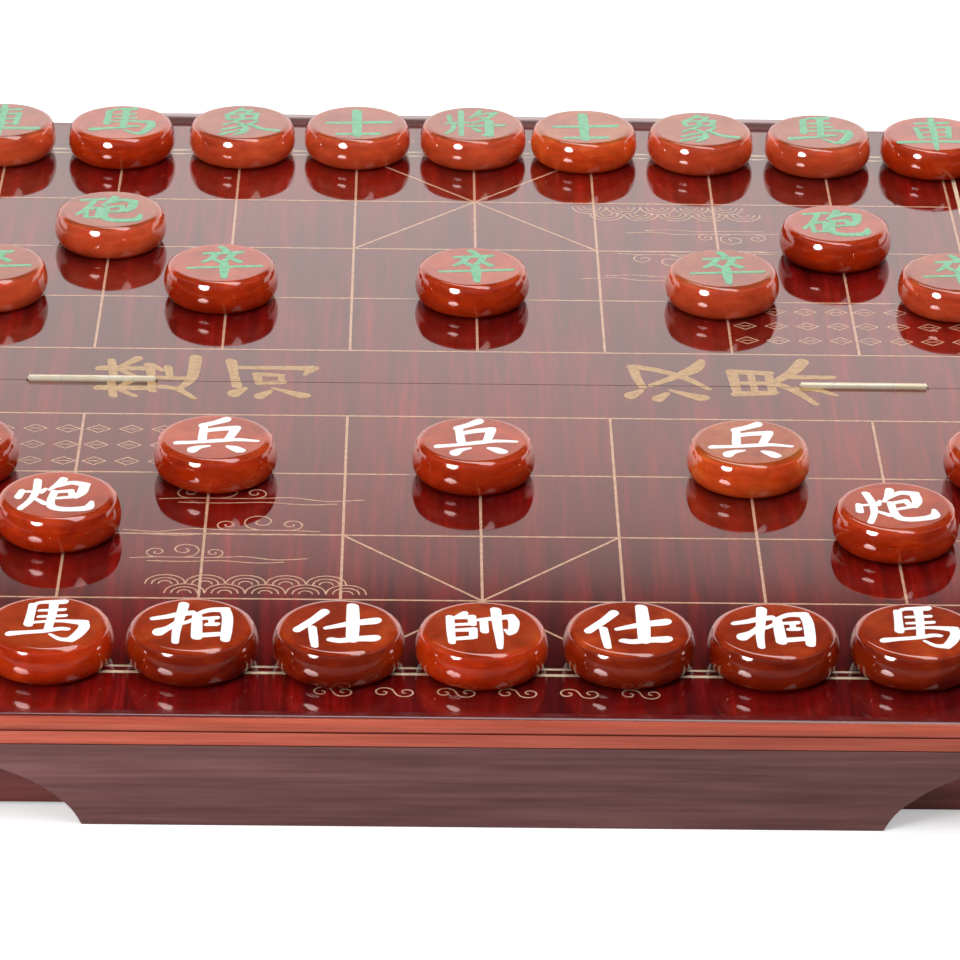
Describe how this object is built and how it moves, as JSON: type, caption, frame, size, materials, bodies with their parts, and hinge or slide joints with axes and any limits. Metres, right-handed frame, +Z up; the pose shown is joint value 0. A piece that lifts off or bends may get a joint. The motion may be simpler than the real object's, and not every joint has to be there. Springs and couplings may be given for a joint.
{
  "type": "folding xiangqi board case",
  "caption": "Folding xiangqi board case on a footed apron, hinged at the river, with side drawers and round stone men standing on its lacquered grid.",
  "frame": {"origin": "on the table, under the middle of the whole object's bounding box", "axes": "+X to the near player's right, +Y from the near player to the far player, +Z up"},
  "size_m": [0.525, 0.5854, 0.0578],
  "materials": {
    "board_lacquer": "dark rosewood under thick clear gloss lacquer",
    "moulding_wood": "red-brown wood, gloss lacquer",
    "apron_wood": "grey-brown rosewood, satin lacquer",
    "case_wood": "brown wood, satin",
    "tray_wood": "plain wood, oiled",
    "felt": "short-pile felt",
    "brass": "polished brass",
    "red_agate": "polished translucent red agate",
    "gold_inlay": "pale gold lines and words under the board's lacquer",
    "white_paint": "white enamel in the cut characters",
    "green_paint": "green enamel in the cut characters"
  },
  "bodies": {
    "front_half": {"front_play_panel": "board_lacquer", "front_edge_moulding": "moulding_wood", "front_apron": "apron_wood", "front_case_walls": "case_wood", "front_case_bottom": "case_wood", "left_hinge_front_leaf": "brass", "right_hinge_front_leaf": "brass", "left_hinge_pin": "brass", "right_hinge_pin": "brass", "front_hinge_screws": "brass"},
    "rear_half": {"rear_play_panel": "board_lacquer", "rear_edge_moulding": "moulding_wood", "rear_apron": "apron_wood", "rear_case_walls": "case_wood", "rear_case_bottom": "case_wood", "closing_strip": "apron_wood", "left_hinge_rear_leaf": "brass", "right_hinge_rear_leaf": "brass", "rear_hinge_screws": "brass"},
    "front_drawer": {"front_drawer_tray": "tray_wood", "front_drawer_felt": "felt", "front_drawer_front": "apron_wood", "front_drawer_knob": "brass"},
    "rear_drawer": {"rear_drawer_tray": "tray_wood", "rear_drawer_felt": "felt", "rear_drawer_front": "apron_wood", "rear_drawer_knob": "brass"},
    "white_chariot_left_man": {"white_chariot_left": "red_agate"},
    "white_horse_left_man": {"white_horse_left": "red_agate"},
    "white_elephant_left_man": {"white_elephant_left": "red_agate"},
    "white_advisor_left_man": {"white_advisor_left": "red_agate"},
    "white_general_man": {"white_general": "red_agate"},
    "white_advisor_right_man": {"white_advisor_right": "red_agate"},
    "white_elephant_right_man": {"white_elephant_right": "red_agate"},
    "white_horse_right_man": {"white_horse_right": "red_agate"},
    "white_chariot_right_man": {"white_chariot_right": "red_agate"},
    "white_cannon_left_man": {"white_cannon_left": "red_agate"},
    "white_cannon_right_man": {"white_cannon_right": "red_agate"},
    "white_soldier_1_man": {"white_soldier_1": "red_agate"},
    "white_soldier_2_man": {"white_soldier_2": "red_agate"},
    "white_soldier_3_man": {"white_soldier_3": "red_agate"},
    "white_soldier_4_man": {"white_soldier_4": "red_agate"},
    "white_soldier_5_man": {"white_soldier_5": "red_agate"},
    "green_chariot_left_man": {"green_chariot_left": "red_agate"},
    "green_horse_left_man": {"green_horse_left": "red_agate"},
    "green_elephant_left_man": {"green_elephant_left": "red_agate"},
    "green_advisor_left_man": {"green_advisor_left": "red_agate"},
    "green_general_man": {"green_general": "red_agate"},
    "green_advisor_right_man": {"green_advisor_right": "red_agate"},
    "green_elephant_right_man": {"green_elephant_right": "red_agate"},
    "green_horse_right_man": {"green_horse_right": "red_agate"},
    "green_chariot_right_man": {"green_chariot_right": "red_agate"},
    "green_cannon_left_man": {"green_cannon_left": "red_agate"},
    "green_cannon_right_man": {"green_cannon_right": "red_agate"},
    "green_soldier_1_man": {"green_soldier_1": "red_agate"},
    "green_soldier_2_man": {"green_soldier_2": "red_agate"},
    "green_soldier_3_man": {"green_soldier_3": "red_agate"},
    "green_soldier_4_man": {"green_soldier_4": "red_agate"},
    "green_soldier_5_man": {"green_soldier_5": "red_agate"}
  },
  "joints": [
    {"name": "fold", "type": "hinge", "parent": "front_half", "child": "rear_half", "pos_m": [0, -0.0025, 0.04355], "axis": [1, 0, 0], "range_deg": [0, 150]},
    {"name": "front_drawer_slide", "type": "slide", "parent": "front_half", "child": "front_drawer", "axis": [1, 0, 0], "range_m": [0, 0.3]},
    {"name": "rear_drawer_slide", "type": "slide", "parent": "rear_half", "child": "rear_drawer", "axis": [-1, 0, 0], "range_m": [0, 0.3]},
    {"name": "lift_white_chariot_left", "type": "slide", "parent": "front_half", "child": "white_chariot_left_man", "axis": [0, 0, -1], "range_m": [-0.06, 0]},
    {"name": "lift_white_horse_left", "type": "slide", "parent": "front_half", "child": "white_horse_left_man", "axis": [0, 0, -1], "range_m": [-0.06, 0]},
    {"name": "lift_white_elephant_left", "type": "slide", "parent": "front_half", "child": "white_elephant_left_man", "axis": [0, 0, -1], "range_m": [-0.06, 0]},
    {"name": "lift_white_advisor_left", "type": "slide", "parent": "front_half", "child": "white_advisor_left_man", "axis": [0, 0, -1], "range_m": [-0.06, 0]},
    {"name": "lift_white_general", "type": "slide", "parent": "front_half", "child": "white_general_man", "axis": [0, 0, -1], "range_m": [-0.06, 0]},
    {"name": "lift_white_advisor_right", "type": "slide", "parent": "front_half", "child": "white_advisor_right_man", "axis": [0, 0, -1], "range_m": [-0.06, 0]},
    {"name": "lift_white_elephant_right", "type": "slide", "parent": "front_half", "child": "white_elephant_right_man", "axis": [0, 0, -1], "range_m": [-0.06, 0]},
    {"name": "lift_white_horse_right", "type": "slide", "parent": "front_half", "child": "white_horse_right_man", "axis": [0, 0, -1], "range_m": [-0.06, 0]},
    {"name": "lift_white_chariot_right", "type": "slide", "parent": "front_half", "child": "white_chariot_right_man", "axis": [0, 0, -1], "range_m": [-0.06, 0]},
    {"name": "lift_white_cannon_left", "type": "slide", "parent": "front_half", "child": "white_cannon_left_man", "axis": [0, 0, -1], "range_m": [-0.06, 0]},
    {"name": "lift_white_cannon_right", "type": "slide", "parent": "front_half", "child": "white_cannon_right_man", "axis": [0, 0, -1], "range_m": [-0.06, 0]},
    {"name": "lift_white_soldier_1", "type": "slide", "parent": "front_half", "child": "white_soldier_1_man", "axis": [0, 0, -1], "range_m": [-0.06, 0]},
    {"name": "lift_white_soldier_2", "type": "slide", "parent": "front_half", "child": "white_soldier_2_man", "axis": [0, 0, -1], "range_m": [-0.06, 0]},
    {"name": "lift_white_soldier_3", "type": "slide", "parent": "front_half", "child": "white_soldier_3_man", "axis": [0, 0, -1], "range_m": [-0.06, 0]},
    {"name": "lift_white_soldier_4", "type": "slide", "parent": "front_half", "child": "white_soldier_4_man", "axis": [0, 0, -1], "range_m": [-0.06, 0]},
    {"name": "lift_white_soldier_5", "type": "slide", "parent": "front_half", "child": "white_soldier_5_man", "axis": [0, 0, -1], "range_m": [-0.06, 0]},
    {"name": "lift_green_chariot_left", "type": "slide", "parent": "rear_half", "child": "green_chariot_left_man", "axis": [0, 0, -1], "range_m": [-0.06, 0]},
    {"name": "lift_green_horse_left", "type": "slide", "parent": "rear_half", "child": "green_horse_left_man", "axis": [0, 0, -1], "range_m": [-0.06, 0]},
    {"name": "lift_green_elephant_left", "type": "slide", "parent": "rear_half", "child": "green_elephant_left_man", "axis": [0, 0, -1], "range_m": [-0.06, 0]},
    {"name": "lift_green_advisor_left", "type": "slide", "parent": "rear_half", "child": "green_advisor_left_man", "axis": [0, 0, -1], "range_m": [-0.06, 0]},
    {"name": "lift_green_general", "type": "slide", "parent": "rear_half", "child": "green_general_man", "axis": [0, 0, -1], "range_m": [-0.06, 0]},
    {"name": "lift_green_advisor_right", "type": "slide", "parent": "rear_half", "child": "green_advisor_right_man", "axis": [0, 0, -1], "range_m": [-0.06, 0]},
    {"name": "lift_green_elephant_right", "type": "slide", "parent": "rear_half", "child": "green_elephant_right_man", "axis": [0, 0, -1], "range_m": [-0.06, 0]},
    {"name": "lift_green_horse_right", "type": "slide", "parent": "rear_half", "child": "green_horse_right_man", "axis": [0, 0, -1], "range_m": [-0.06, 0]},
    {"name": "lift_green_chariot_right", "type": "slide", "parent": "rear_half", "child": "green_chariot_right_man", "axis": [0, 0, -1], "range_m": [-0.06, 0]},
    {"name": "lift_green_cannon_left", "type": "slide", "parent": "rear_half", "child": "green_cannon_left_man", "axis": [0, 0, -1], "range_m": [-0.06, 0]},
    {"name": "lift_green_cannon_right", "type": "slide", "parent": "rear_half", "child": "green_cannon_right_man", "axis": [0, 0, -1], "range_m": [-0.06, 0]},
    {"name": "lift_green_soldier_1", "type": "slide", "parent": "rear_half", "child": "green_soldier_1_man", "axis": [0, 0, -1], "range_m": [-0.06, 0]},
    {"name": "lift_green_soldier_2", "type": "slide", "parent": "rear_half", "child": "green_soldier_2_man", "axis": [0, 0, -1], "range_m": [-0.06, 0]},
    {"name": "lift_green_soldier_3", "type": "slide", "parent": "rear_half", "child": "green_soldier_3_man", "axis": [0, 0, -1], "range_m": [-0.06, 0]},
    {"name": "lift_green_soldier_4", "type": "slide", "parent": "rear_half", "child": "green_soldier_4_man", "axis": [0, 0, -1], "range_m": [-0.06, 0]},
    {"name": "lift_green_soldier_5", "type": "slide", "parent": "rear_half", "child": "green_soldier_5_man", "axis": [0, 0, -1], "range_m": [-0.06, 0]}
  ]
}
